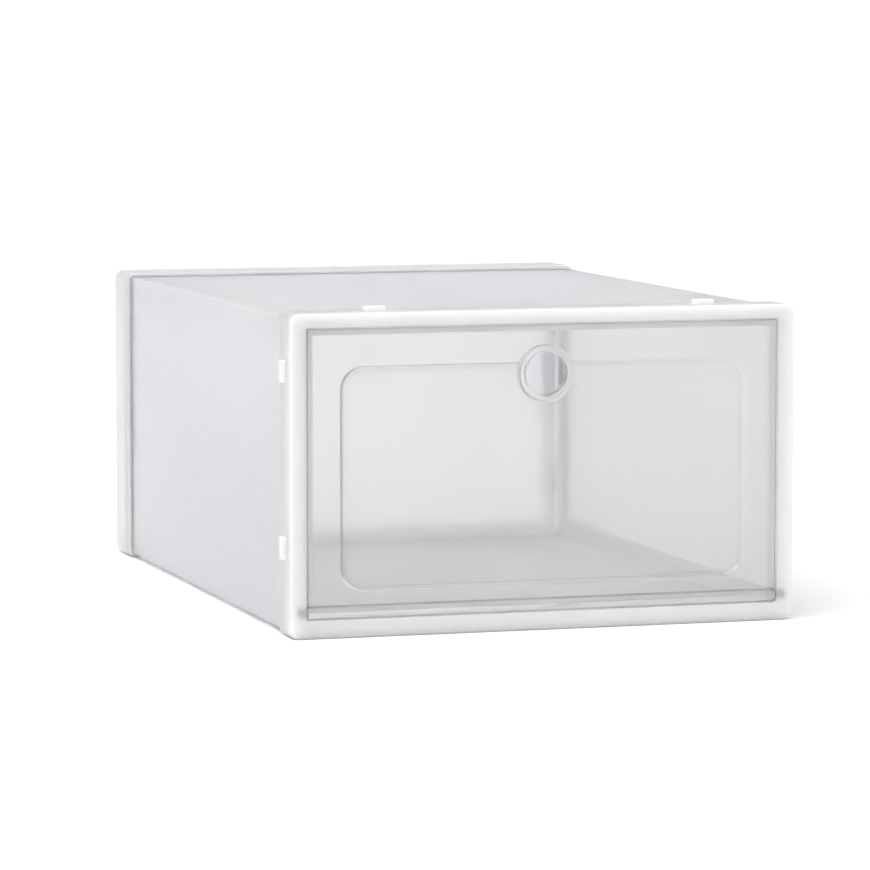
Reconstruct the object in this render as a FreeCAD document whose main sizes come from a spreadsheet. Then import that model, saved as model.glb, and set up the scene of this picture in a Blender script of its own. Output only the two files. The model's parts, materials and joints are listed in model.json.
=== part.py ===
"""Stackable drop-front shoe box, in millimetres.

Two moulded frames hold four panels in grooves and a fifth across the back. The front frame carries a
clear door, which turns down on two pins along its lower edge and is pulled open by a finger ring. Tabs
on the top and the left of the front frame enter slots in the frame of the next box.

+X is to the right of someone facing the door, +Y is towards the back and +Z is up. The origin is on the
ground, in the middle of the case's footprint.
"""

import FreeCAD, Part

import math
import os
import re

import Sketcher
from FreeCAD import Vector

# Driving dimensions: alias, millimetres, meaning.
SIZES = [
    ("case_width", 230.0, "across both frames, without the tabs"),
    ("case_depth", 330.0, "from the front rail to the rear rail"),
    ("case_height", 140.0, "from the ground to the top of the frames"),
    ("frame_wall", 2.0, "outer wall of both frames"),
    ("frame_corner", 4.0, "outer corner of both frames, seen from the front"),
    ("frame_round", 1.0, "rounded edges of both frames, outside and around their rails"),
    ("side_rail", 7.5, "front rail beside the door, from the case's side"),
    ("top_rail", 6.5, "front rail above the door"),
    ("bottom_rail", 8.0, "front rail below the door"),
    ("opening_corner", 0.8, "inner corner of both rails"),
    ("rear_frame_depth", 26.0, "depth of the rear frame"),
    ("rear_rail", 8.0, "rail around the rear opening"),
    ("rear_rail_thickness", 2.4, "thickness of that rail"),
    ("panel_thickness", 1.4, "all five panels"),
    ("panel_clearance", 0.1, "beside a panel, each side"),
    ("edge_clearance", 0.25, "between a panel's end and the floor of its groove"),
    ("groove_depth", 7.0, "how far a frame's groove takes a panel"),
    ("groove_wall", 1.4, "inner wall of that groove"),
    ("groove_web", 1.5, "floor of that groove"),
    ("door_thickness", 2.0, "clear door"),
    ("door_gap", 0.5, "between the door and the rails"),
    ("door_inset", 0.4, "door's face behind the rail's face"),
    ("door_corner", 1.2, "outer corner of the door"),
    ("stop_gap", 0.2, "between the shut door and its stop"),
    ("stop_overlap", 2.5, "how far the stop reaches behind the door"),
    ("stop_thickness", 1.6, "lip that stops the door"),
    ("barrel_radius", 3.0, "rolled lower edge of the door"),
    ("barrel_gap", 0.3, "between that edge and the bottom rail"),
    ("barrel_cover", 1.2, "material of the hinge block above and behind the barrel"),
    ("pin_radius", 2.0, "hinge pins"),
    ("pin_length", 4.0, "hinge pin, from the door's side"),
    ("pin_clearance", 0.08, "running clearance of a hinge pin, on the radius"),
    ("pin_end_gap", 0.4, "beyond the end of a hinge pin"),
    ("recess_side_margin", 24.0, "from the case's side to the door's sunk field"),
    ("recess_top_margin", 24.5, "from the case's top to the sunk field"),
    ("recess_bottom_margin", 21.5, "from the ground to the sunk field"),
    ("recess_depth", 1.6, "depth of the sunk field"),
    ("recess_wall", 1.6, "how far the field's back reaches past the field"),
    ("recess_slope", 1.2, "slope around the field, in front and behind"),
    ("recess_corner", 9.0, "corner of the sunk field"),
    ("ring_drop", 28.0, "from the case's top to the middle of the finger ring"),
    ("ring_radius", 12.5, "outside of the finger ring"),
    ("hole_radius", 9.5, "finger hole"),
    ("ring_rise", 2.0, "ring in front of the door's face"),
    ("ring_round", 0.8, "rounded rim of the ring"),
    ("tab_length", 10.0, "stacking tab, along the case's edge"),
    ("tab_width", 4.4, "stacking tab, from front to back"),
    ("tab_rise", 2.4, "stacking tab, above the frame"),
    ("tab_corner", 1.2, "corner of a stacking tab"),
    ("tab_chamfer", 0.6, "lead-in around the end of a tab"),
    ("tab_setback", 8.5, "from the front rail to a tab's middle"),
    ("top_tab_margin", 40.0, "from the case's side to a top tab"),
    ("upper_tab_drop", 25.0, "from the case's top to the upper side tab"),
    ("lower_tab_height", 39.0, "from the ground to the lower side tab"),
    ("slot_clearance", 0.4, "around a tab in its slot"),
    ("slot_web_gap", 0.5, "between a slot and the groove's web"),
    ("catch_length", 10.0, "rib on each jamb that grips the edge of the shut door"),
    ("catch_width", 1.0, "that rib, from front to back"),
    ("catch_rise", 0.3, "that rib, towards the door"),
    ("catch_drop", 22.0, "from the case's top to that rib"),
    ("flange_depth", 8.0, "side flange of the top and bottom panels"),
    ("flange_thickness", 1.4, "that flange"),
    ("flange_end_gap", 1.0, "between that flange and the frames"),
    ("nub_length", 12.0, "snap nub on a flange"),
    ("nub_width", 2.6, "height of that nub"),
    ("nub_drop", 4.5, "from the flange's root to the nub's middle"),
    ("nub_margin", 34.0, "from a flange's end to its first nub"),
    ("nub_end_gap", 0.1, "beyond the nub's end in its dimple"),
    ("dimple_depth", 0.8, "dimple in the side panel's inner face that takes a nub"),
    ("dimple_clearance", 0.3, "around a nub in its dimple"),
    ("rib_length", 16.0, "snap rib that holds the back panel"),
    ("rib_thickness", 1.4, "that rib, from front to back"),
    ("rib_reach", 2.4, "that rib, over the back panel"),
    ("rib_margin", 30.0, "from the case's corner to a rib's middle"),
]

# Places and sizes that follow from the driving dimensions. A distance from the case's outside is
# measured inwards, square to the face.
FRONT = "(-case_depth / 2)"
BACK = "(case_depth / 2)"
MID_HEIGHT = "(case_height / 2)"
INNER_WIDTH = "(case_width - 2 * frame_wall)"
INNER_HEIGHT = "(case_height - 2 * frame_wall)"
PANEL_OUTSIDE = "(frame_wall + panel_clearance)"
PANEL_INSIDE = f"({PANEL_OUTSIDE} + panel_thickness)"
GROOVE_INSIDE = f"({PANEL_INSIDE} + panel_clearance)"
GROOVE_WALL_INSIDE = f"({GROOVE_INSIDE} + groove_wall)"

RAIL_BACK = "(door_inset + door_thickness + stop_gap)"
SLOT_LENGTH = "(tab_length + 2 * slot_clearance)"
SLOT_WIDTH = "(tab_width + 2 * slot_clearance)"
WEB_FRONT = f"(tab_setback + {SLOT_WIDTH} / 2 + slot_web_gap)"
GROOVE_FLOOR = f"({WEB_FRONT} + groove_web)"
FRONT_FRAME_DEPTH = f"({GROOVE_FLOOR} + groove_depth)"
FRONT_FRAME_END = f"({FRONT} + {FRONT_FRAME_DEPTH})"
REAR_FRAME_START = f"({BACK} - rear_frame_depth)"

OPENING_WIDTH = "(case_width - 2 * side_rail)"
OPENING_HEIGHT = "(case_height - top_rail - bottom_rail)"
OPENING_MIDDLE = f"(bottom_rail + {OPENING_HEIGHT} / 2)"
TAB_LINE = f"({FRONT} + tab_setback)"
TOP_TAB_X = "(case_width / 2 - top_tab_margin)"
UPPER_TAB_Z = "(case_height - upper_tab_drop)"

DOOR_FRONT = f"({FRONT} + door_inset)"
DOOR_WIDTH = f"({OPENING_WIDTH} - 2 * door_gap)"
PIVOT_Y = f"({DOOR_FRONT} + barrel_radius)"
PIVOT_Z = "(bottom_rail + barrel_gap + barrel_radius)"
DOOR_TOP = "(case_height - top_rail - door_gap)"
HINGE_BLOCK_TOP = f"({PIVOT_Z} + barrel_radius + barrel_cover)"
HINGE_BLOCK_DEPTH = f"(door_inset + 2 * barrel_radius + barrel_cover - {RAIL_BACK})"
RING_Z = "(case_height - ring_drop)"

PANEL_START = f"({FRONT} + {GROOVE_FLOOR} + edge_clearance)"
PANEL_END = f"({REAR_FRAME_START} + groove_depth - edge_clearance)"
PANEL_LENGTH = f"({PANEL_END} - {PANEL_START})"
PANEL_MIDDLE = f"(({PANEL_START} + {PANEL_END}) / 2)"
FLANGE_START = f"({FRONT_FRAME_END} + flange_end_gap)"
FLANGE_END = f"({REAR_FRAME_START} - flange_end_gap)"
FLANGE_LENGTH = f"({FLANGE_END} - {FLANGE_START})"
FLANGE_MIDDLE = f"(({FLANGE_START} + {FLANGE_END}) / 2)"
NUB_PITCH = f"({FLANGE_LENGTH} / 2 - nub_margin)"
NUB_FROM_EDGE = f"({PANEL_INSIDE} + nub_drop)"
BACK_PANEL_FRONT = f"({BACK} - rear_rail_thickness - panel_clearance - panel_thickness)"

LEFT, RIGHT = -1, 1
NEAR = 1e-4  # how close two lengths in millimetres are to be the same

doc = FreeCAD.newDocument("shoe_box")
sheet = doc.addObject("Spreadsheet::Sheet", "Sizes")
for row, (alias, size, meaning) in enumerate(SIZES, start=1):
    sheet.set(f"A{row}", alias)
    sheet.set(f"B{row}", str(size))
    sheet.set(f"C{row}", meaning)
    sheet.setAlias(f"B{row}", alias)
doc.recompute()


def formula(text):
    """text with the name of the sheet put before each alias."""
    return re.sub(r"[a-z]+(?:_[a-z]+)+", r"Sizes.\g<0>", text)


def number(text):
    """What text comes to with the sizes as they are."""
    return float(sheet.evalExpression(formula(text)))


def bind(thing, name, text):
    thing.setExpression(name, formula(text))


def new_body(label):
    body = doc.addObject("PartDesign::Body", label)
    body.Label = label
    return body


# ---------------------------------------------------------------- sketches

# The sign says which way along its axis each plane faces.
PLANES = {"XY": 1, "XZ": -1, "YZ": 1}


def new_sketch(body, name, plane, across, up, along):
    """A sketch parallel to an origin plane, with its origin at (across, up) and `along` the third axis."""
    sketch = body.newObject("Sketcher::SketchObject", name)
    features = body.Origin.OriginFeatures
    origin_plane = next(f for f in features if f.Role == plane + "_Plane")
    sketch.AttachmentSupport = [(origin_plane, "")]
    sketch.MapMode = "FlatFace"
    bind(sketch, "AttachmentOffset.Base.x", across)
    bind(sketch, "AttachmentOffset.Base.y", up)
    bind(sketch, "AttachmentOffset.Base.z", f"{PLANES[plane]} * ({along})")
    return sketch


def dimension(sketch, kind, where, text, name):
    index = sketch.addConstraint(Sketcher.Constraint(kind, *where, number(text)))
    sketch.renameConstraint(index, name)
    bind(sketch, "Constraints." + name, text)


def rectangle(sketch, wide, high, corner=None, prefix="outline"):
    """A rectangle about the sketch's origin, its corners rounded to the radius `corner`."""
    first = sketch.GeometryCount
    x, y = number(wide) / 2, number(high) / 2
    r = number(corner) if corner else 0.0
    ends = [
        (Vector(-x + r, -y, 0), Vector(x - r, -y, 0)),
        (Vector(x, -y + r, 0), Vector(x, y - r, 0)),
        (Vector(x - r, y, 0), Vector(-x + r, y, 0)),
        (Vector(-x, y - r, 0), Vector(-x, -y + r, 0)),
    ]
    sketch.addGeometry([Part.LineSegment(*pair) for pair in ends])
    rules = []
    for i in range(4):
        line, following = first + i, first + (i + 1) % 4
        if corner:
            rules += rounded_corner(sketch, line, following, i, Vector(x - r, y - r, 0), r)
        else:
            rules.append(Sketcher.Constraint("Coincident", line, 2, following, 1))
        rules.append(Sketcher.Constraint("Vertical" if i % 2 else "Horizontal", line))
    if corner:
        rules += [Sketcher.Constraint("Equal", first + 4, first + 4 + i) for i in (1, 2, 3)]
    rules.append(Sketcher.Constraint("Symmetric", first, 1, first + 2, 1, -1, 1))
    sketch.addConstraint(rules)
    dimension(sketch, "DistanceX", (first + 3, 1, first + 1, 1), wide, prefix + "Wide")
    dimension(sketch, "DistanceY", (first, 1, first + 2, 1), high, prefix + "High")
    if corner:
        dimension(sketch, "Radius", (first + 4,), corner, prefix + "Corner")


def rounded_corner(sketch, line, following, turn, reach, radius):
    """The arc from one line's end to the next one's start, and the rules that keep it smooth."""
    signs = [(1, -1), (1, 1), (-1, 1), (-1, -1)][turn]
    centre = Vector(reach.x * signs[0], reach.y * signs[1], 0)
    circle = Part.Circle(centre, Vector(0, 0, 1), radius)
    start = (turn - 1) * math.pi / 2
    arc = sketch.addGeometry(Part.ArcOfCircle(circle, start, start + math.pi / 2))
    return [
        Sketcher.Constraint("Tangent", line, 2, arc, 1),
        Sketcher.Constraint("Tangent", arc, 2, following, 1),
    ]


def disc(sketch, radius):
    circle = sketch.addGeometry(Part.Circle(Vector(), Vector(0, 0, 1), number(radius)))
    sketch.addConstraint(Sketcher.Constraint("Coincident", circle, 3, -1, 1))
    dimension(sketch, "Radius", (circle,), radius, "discRadius")


# ---------------------------------------------------------------- features


def extrude(body, sketch, name, plane, length, cut=False, backwards=False):
    """Pads or cuts from the sketch towards + along its axis, or towards - if backwards.

    A cut that takes nothing away is an error, because it points away from the solid.
    """
    before = body.Shape.Volume if cut else 0.0
    feature = body.newObject("PartDesign::Pocket" if cut else "PartDesign::Pad", name)
    feature.Profile = sketch
    bind(feature, "Length", length)
    natural = -PLANES[plane] if cut else PLANES[plane]
    feature.Reversed = natural != (-1 if backwards else 1)
    doc.recompute()
    if cut and body.Shape.Volume > before - NEAR:
        raise RuntimeError(f"{name} cuts nothing from {body.Label}")
    return feature


def slab(body, name, plane, at, size, start, length, corner=None, **how):
    """A rectangle pulled along its axis: `at` and `size` are in the plane, `start` is on the axis."""
    sketch = new_sketch(body, name + "_sketch", plane, *at, start)
    rectangle(sketch, *size, corner)
    return extrude(body, sketch, name, plane, length, **how)


def rod(body, name, plane, at, radius, start, length, **how):
    sketch = new_sketch(body, name + "_sketch", plane, *at, start)
    disc(sketch, radius)
    return extrude(body, sketch, name, plane, length, **how)


def band(body, name, outside, inside, start, length, **how):
    """A ring across the case, between two distances from its outside, pulled towards the back."""
    sketch = new_sketch(body, name + "_sketch", "XZ", "0", MID_HEIGHT, start)
    for prefix, inset in (("outer", outside), ("inner", inside)):
        wide, high = (f"(case_{side} - 2 * {inset})" for side in ("width", "height"))
        rectangle(sketch, wide, high, prefix=prefix)
    return extrude(body, sketch, name, "XZ", length, **how)


def dress(body, name, kind, size, wanted):
    """A Fillet or Chamfer on each edge of the body that `wanted` picks."""
    base = body.Tip
    names = [f"Edge{i}" for i, e in enumerate(base.Shape.Edges, start=1) if wanted(e)]
    if not names:
        raise RuntimeError(f"{name} finds no edge on {body.Label}")
    feature = body.newObject("PartDesign::" + kind, name)
    feature.Base = (base, names)
    bind(feature, "Radius" if kind == "Fillet" else "Size", size)
    doc.recompute()
    return feature


def lies_at(axis, place, wide=None):
    """A test of an edge: whether all of it lies at one place along an axis.

    With `wide`, it also has to be no further than half of that from the case's middle.
    """
    there = number(place)
    reach = number(wide) / 2 + NEAR if wide else math.inf

    def test(edge):
        box = edge.BoundBox
        low, high = getattr(box, axis + "Min"), getattr(box, axis + "Max")
        at_place = abs(low - there) < NEAR and abs(high - there) < NEAR
        return at_place and max(-box.XMin, box.XMax) < reach

    return test


# ---------------------------------------------------------------- frames


def shell_of_frame(body, start, depth, rail_at_front, rail_thickness, opening):
    """The outer wall of a frame with a rail across one end, and the rail's opening.

    `opening` holds its middle, its size across and its size up.
    """
    middle = ("0", MID_HEIGHT)
    end = f"({start} + {depth})"
    slab(body, "shell", "XZ", middle, ("case_width", "case_height"), start, depth,
         corner="frame_corner")
    at_start, at_end = lies_at("Y", start), lies_at("Y", end)
    dress(body, "outer_round", "Fillet", "frame_round", lambda e: at_start(e) or at_end(e))
    cavity_start = f"({start} + {rail_thickness})" if rail_at_front else start
    slab(body, "cavity", "XZ", middle, (INNER_WIDTH, INNER_HEIGHT), cavity_start,
         f"({depth} - {rail_thickness})", cut=True)
    height, wide, high = opening
    rail_start = start if rail_at_front else f"({end} - {rail_thickness})"
    slab(body, "opening", "XZ", ("0", height), (wide, high), rail_start, rail_thickness,
         corner="opening_corner", cut=True)
    rim = start if rail_at_front else end
    dress(body, "opening_round", "Fillet", "frame_round", lies_at("Y", rim, wide))


def panel_groove(body, wall_start, groove_start):
    """The inner wall that holds the four long panels against the frame's outer wall."""
    band(body, "groove_wall_band", "frame_wall", GROOVE_WALL_INSIDE, wall_start,
         "(groove_web + groove_depth)")
    band(body, "groove", "frame_wall", GROOVE_INSIDE, groove_start, "groove_depth", cut=True)


def door_stop(body):
    """The lip behind the sides and the top of the door, kept clear of the hinge."""
    lip = "(door_gap + stop_overlap)"
    start = f"({FRONT} + {RAIL_BACK})"
    slab(body, "stop_plate", "XZ", ("0", MID_HEIGHT), (INNER_WIDTH, INNER_HEIGHT), start,
         "stop_thickness")
    top = f"(case_height - top_rail - {lip})"
    slab(body, "stop_opening", "XZ", ("0", f"((frame_wall + {top}) / 2)"),
         (f"({OPENING_WIDTH} - 2 * {lip})", f"({top} - frame_wall)"), start, "stop_thickness",
         cut=True)
    slab(body, "hinge_relief", "XZ", ("0", f"((frame_wall + {HINGE_BLOCK_TOP}) / 2)"),
         (INNER_WIDTH, f"({HINGE_BLOCK_TOP} - frame_wall)"), start, "stop_thickness", cut=True)


def hinge_block(body, side):
    """The block behind one jamb that the door's pin turns in."""
    name = "left_hinge" if side == LEFT else "right_hinge"
    y = f"({FRONT} + {RAIL_BACK} + {HINGE_BLOCK_DEPTH} / 2)"
    z = f"((frame_wall + {HINGE_BLOCK_TOP}) / 2)"
    size = (HINGE_BLOCK_DEPTH, f"({HINGE_BLOCK_TOP} - frame_wall)")
    slab(body, name + "_block", "YZ", (y, z), size, f"{side} * {INNER_WIDTH} / 2",
         "(side_rail - frame_wall)", backwards=side == RIGHT)
    rod(body, name + "_bore", "YZ", (PIVOT_Y, PIVOT_Z), "(pin_radius + pin_clearance)",
        f"{side} * {OPENING_WIDTH} / 2", "(pin_length - door_gap + pin_end_gap)", cut=True,
        backwards=side == LEFT)


def door_catch(body, side):
    """A low rib on the jamb that grips the edge of the shut door."""
    name = "left_catch" if side == LEFT else "right_catch"
    at = (f"({FRONT} + {RAIL_BACK} / 2)", "(case_height - catch_drop)")
    slab(body, name, "YZ", at, ("catch_width", "catch_length"),
         f"{side} * {OPENING_WIDTH} / 2", "catch_rise", backwards=side == RIGHT)


def tabs_and_slots(body):
    """Tabs on the top and the left, and the slots that take them on the bottom and the right."""
    for name, side in (("left", LEFT), ("right", RIGHT)):
        at = (f"{side} * {TOP_TAB_X}", TAB_LINE)
        slab(body, f"top_tab_{name}", "XY", at, ("tab_length", "tab_width"), "case_height",
             "tab_rise", corner="tab_corner")
        slab(body, f"base_slot_{name}", "XY", at, (SLOT_LENGTH, SLOT_WIDTH), "0", "frame_wall",
             corner="tab_corner", cut=True)
    for name, height in (("upper", UPPER_TAB_Z), ("lower", "lower_tab_height")):
        at = (TAB_LINE, height)
        slab(body, f"side_tab_{name}", "YZ", at, ("tab_width", "tab_length"),
             "(-case_width / 2)", "tab_rise", corner="tab_corner", backwards=True)
        slab(body, f"side_slot_{name}", "YZ", at, (SLOT_WIDTH, SLOT_LENGTH),
             "(case_width / 2)", "frame_wall", corner="tab_corner", cut=True, backwards=True)
    top_end = lies_at("Z", "case_height + tab_rise")
    side_end = lies_at("X", "-case_width / 2 - tab_rise")
    dress(body, "tab_lead_in", "Chamfer", "tab_chamfer", lambda e: top_end(e) or side_end(e))


def front_frame():
    body = new_body("front_frame")
    shell_of_frame(body, FRONT, FRONT_FRAME_DEPTH, True, RAIL_BACK,
                   (OPENING_MIDDLE, OPENING_WIDTH, OPENING_HEIGHT))
    door_stop(body)
    panel_groove(body, f"({FRONT} + {WEB_FRONT})", f"({FRONT} + {GROOVE_FLOOR})")
    for side in (LEFT, RIGHT):
        hinge_block(body, side)
        door_catch(body, side)
    tabs_and_slots(body)
    return body


def back_panel_ribs(body):
    """Two short ribs on each wall, just in front of the back panel, that it snaps past."""
    y = f"({BACK_PANEL_FRONT} - panel_clearance - rib_thickness / 2)"
    for end, side in (("left", LEFT), ("right", RIGHT)):
        x = f"{side} * (case_width / 2 - rib_margin)"
        for level, wall, down in (("top", "(case_height - frame_wall)", True),
                                  ("base", "frame_wall", False)):
            slab(body, f"{level}_rib_{end}", "XY", (x, y), ("rib_length", "rib_thickness"), wall,
                 "rib_reach", backwards=down)
        for level, z in (("upper", "(case_height - rib_margin)"), ("lower", "rib_margin")):
            slab(body, f"{end}_rib_{level}", "YZ", (y, z), ("rib_thickness", "rib_length"),
                 f"{side} * {INNER_WIDTH} / 2", "rib_reach", backwards=side == RIGHT)


def rear_frame():
    body = new_body("rear_frame")
    shell_of_frame(body, REAR_FRAME_START, "rear_frame_depth", False, "rear_rail_thickness",
                   (MID_HEIGHT, "(case_width - 2 * rear_rail)", "(case_height - 2 * rear_rail)"))
    panel_groove(body, REAR_FRAME_START, REAR_FRAME_START)
    back_panel_ribs(body)
    return body


# ---------------------------------------------------------------- panels


def side_panel(label, side):
    """A flat panel with a row of dimples along its top and its bottom, in its inner face."""
    body = new_body(label)
    slab(body, "sheet", "YZ", (PANEL_MIDDLE, MID_HEIGHT),
         (PANEL_LENGTH, f"(case_height - 2 * {PANEL_OUTSIDE})"),
         f"{side} * (case_width / 2 - {PANEL_OUTSIDE})", "panel_thickness",
         backwards=side == RIGHT)
    dimple = tuple(f"({size} + 2 * dimple_clearance)" for size in ("nub_length", "nub_width"))
    inner_face = f"{side} * (case_width / 2 - {PANEL_INSIDE})"
    for level, z in (("top", f"(case_height - {NUB_FROM_EDGE})"), ("base", NUB_FROM_EDGE)):
        for place in (-1, 0, 1):
            y = f"({FLANGE_MIDDLE} + {place} * {NUB_PITCH})"
            slab(body, f"{level}_dimple_{place + 2}", "YZ", (y, z), dimple, inner_face,
                 "dimple_depth", cut=True, backwards=side == LEFT)
    return body


def flanged_panel(label, top):
    """The top or bottom panel: a sheet with a flange down each side that snaps to the side panels."""
    body = new_body(label)

    def from_face(inset):
        return f"(case_height - {inset})" if top else inset

    slab(body, "sheet", "XY", ("0", PANEL_MIDDLE),
         (f"(case_width - 2 * {GROOVE_INSIDE})", PANEL_LENGTH), from_face(PANEL_OUTSIDE),
         "panel_thickness", backwards=top)
    for end, side in (("left", LEFT), ("right", RIGHT)):
        x = f"{side} * (case_width / 2 - {GROOVE_INSIDE} - flange_thickness / 2)"
        slab(body, f"{end}_flange", "XY", (x, FLANGE_MIDDLE), ("flange_thickness", FLANGE_LENGTH),
             from_face(PANEL_INSIDE), "flange_depth", backwards=top)
        outer_face = f"{side} * (case_width / 2 - {GROOVE_INSIDE})"
        for place in (-1, 0, 1):
            y = f"({FLANGE_MIDDLE} + {place} * {NUB_PITCH})"
            slab(body, f"{end}_nub_{place + 2}", "YZ", (y, from_face(NUB_FROM_EDGE)),
                 ("nub_length", "nub_width"), outer_face,
                 "(panel_clearance + dimple_depth - nub_end_gap)", backwards=side == LEFT)
    return body


def back_panel():
    body = new_body("back_panel")
    size = (f"(case_width - 2 * {PANEL_OUTSIDE})", f"(case_height - 2 * {PANEL_OUTSIDE})")
    slab(body, "sheet", "XZ", ("0", MID_HEIGHT), size, BACK_PANEL_FRONT, "panel_thickness")
    return body


# ---------------------------------------------------------------- door


def sunk_field(body):
    """The field in the middle of the door, pressed back with sloping sides, all one thickness."""
    wide = "(case_width - 2 * recess_side_margin)"
    high = "(case_height - recess_top_margin - recess_bottom_margin)"
    at = ("0", f"(recess_bottom_margin + {high} / 2)")
    sheet_back = f"({DOOR_FRONT} + door_thickness)"
    back_size = tuple(f"({size} + 2 * recess_wall)" for size in (wide, high))
    slab(body, "field_back", "XZ", at, back_size, sheet_back, "recess_depth",
         corner="(recess_corner + recess_wall)")
    dress(body, "back_slope", "Chamfer", "recess_slope", lies_at("Y", f"{sheet_back} + recess_depth"))
    slab(body, "field", "XZ", at, (wide, high), DOOR_FRONT, "recess_depth",
         corner="recess_corner", cut=True)
    dress(body, "front_slope", "Chamfer", "recess_slope", lies_at("Y", DOOR_FRONT, wide))


def finger_ring(body):
    """A raised ring around a round hole, across the upper edge of the sunk field."""
    start, at = f"({DOOR_FRONT} - ring_rise)", ("0", RING_Z)
    length = "(ring_rise + door_thickness + recess_depth)"
    rod(body, "ring", "XZ", at, "ring_radius", start, length)
    rod(body, "finger_hole", "XZ", at, "hole_radius", start, length, cut=True)
    dress(body, "ring_round", "Fillet", "ring_round", lies_at("Y", start))


def door():
    body = new_body("door")
    high = f"({DOOR_TOP} - {PIVOT_Z})"
    slab(body, "sheet", "XZ", ("0", f"({PIVOT_Z} + {high} / 2)"), (DOOR_WIDTH, high), DOOR_FRONT,
         "door_thickness", corner="door_corner")
    pivot = (PIVOT_Y, PIVOT_Z)
    rod(body, "barrel", "YZ", pivot, "barrel_radius", f"(-{DOOR_WIDTH} / 2)", DOOR_WIDTH)
    rod(body, "pins", "YZ", pivot, "pin_radius", f"(-{DOOR_WIDTH} / 2 - pin_length)",
        f"({DOOR_WIDTH} + 2 * pin_length)")
    sunk_field(body)
    finger_ring(body)
    return body


# ---------------------------------------------------------------- the whole box


def check(bodies):
    """Stops unless every object of the document is sound and every body is one valid solid."""
    for thing in doc.Objects:
        if {"Invalid", "Error"} & set(thing.State):
            raise RuntimeError(f"{thing.Label} failed: {thing.State}")
    for body in bodies:
        shape = body.Shape
        if shape.isNull() or not shape.isValid() or len(shape.Solids) != 1:
            raise RuntimeError(f"{body.Label} is not one valid solid")


def main():
    bodies = [
        front_frame(),
        rear_frame(),
        side_panel("left_panel", LEFT),
        side_panel("right_panel", RIGHT),
        flanged_panel("top_panel", True),
        flanged_panel("bottom_panel", False),
        back_panel(),
        door(),
    ]
    doc.recompute()
    check(bodies)
    os.makedirs("parts", exist_ok=True)
    for body in bodies:
        body.Shape.exportStep(f"parts/{body.Label}.step")
        print(f"{body.Label}: {body.Shape.Volume / 1000:.1f} cm3")


main()
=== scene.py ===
"""The looks of a stackable drop-front shoe box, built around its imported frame.

Every length is in metres and every piece is in the frame's own place. The two moulded frames are a
profile carried around the case, the panels are shallow pillows, and the door is one closed profile
carried from side to side, with a sunk field and a finger ring.
"""

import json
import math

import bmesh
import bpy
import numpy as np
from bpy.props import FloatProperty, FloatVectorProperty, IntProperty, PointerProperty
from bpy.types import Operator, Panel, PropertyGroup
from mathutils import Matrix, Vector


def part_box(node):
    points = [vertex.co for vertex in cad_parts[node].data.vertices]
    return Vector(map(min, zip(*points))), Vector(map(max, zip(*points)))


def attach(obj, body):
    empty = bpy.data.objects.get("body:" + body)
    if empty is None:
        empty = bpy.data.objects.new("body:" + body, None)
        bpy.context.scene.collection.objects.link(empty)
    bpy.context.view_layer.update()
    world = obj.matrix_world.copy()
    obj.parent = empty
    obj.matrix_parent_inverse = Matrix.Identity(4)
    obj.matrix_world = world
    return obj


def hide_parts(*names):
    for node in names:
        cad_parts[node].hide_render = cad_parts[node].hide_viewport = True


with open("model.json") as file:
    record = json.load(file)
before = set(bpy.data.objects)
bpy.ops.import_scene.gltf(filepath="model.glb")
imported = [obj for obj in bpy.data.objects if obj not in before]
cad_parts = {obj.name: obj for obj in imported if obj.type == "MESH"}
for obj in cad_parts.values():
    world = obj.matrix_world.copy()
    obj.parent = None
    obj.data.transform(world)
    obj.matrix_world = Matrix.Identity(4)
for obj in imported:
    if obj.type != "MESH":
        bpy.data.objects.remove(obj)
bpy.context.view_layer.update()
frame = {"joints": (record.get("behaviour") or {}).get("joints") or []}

bl_info = {
    "name": "Drop-Front Shoe Box",
    "version": (1, 0, 0),
    "blender": (4, 5, 0),
    "location": "View3D > Sidebar > Shoe Box",
    "description": "Builds the visible pieces of a stackable shoe box around its packed frame",
    "category": "Add Mesh",
}

MM = 0.001
LEFT, RIGHT = -1, 1
HAIR = 0.02 * MM  # keeps two faces of a Boolean from lying in one plane

# The case is the rear frame's outline: the front frame's box also holds the tabs.
CASE_LOW, CASE_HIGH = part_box("rear_frame")
CASE_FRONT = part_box("front_frame")[0].y
FRONT_FRAME_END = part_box("front_frame")[1].y
TAB_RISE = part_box("front_frame")[1].z - CASE_HIGH.z
HINGE = Vector(next(j for j in frame["joints"] if j["name"] == "door_hinge")["pos_m"])


def length(name, millimetres, description):
    """A length that the sidebar shows in the scene's unit."""
    return FloatProperty(name=name, description=description, default=millimetres * MM,
                         unit="LENGTH", precision=5)


def colour(name, rgb, description):
    return FloatVectorProperty(name=name, description=description, default=rgb, size=3,
                               subtype="COLOR", min=0.0, max=1.0)


def factor(name, default, description):
    return FloatProperty(name=name, description=description, default=default,
                         subtype="FACTOR", min=0.0, max=1.0)


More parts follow.
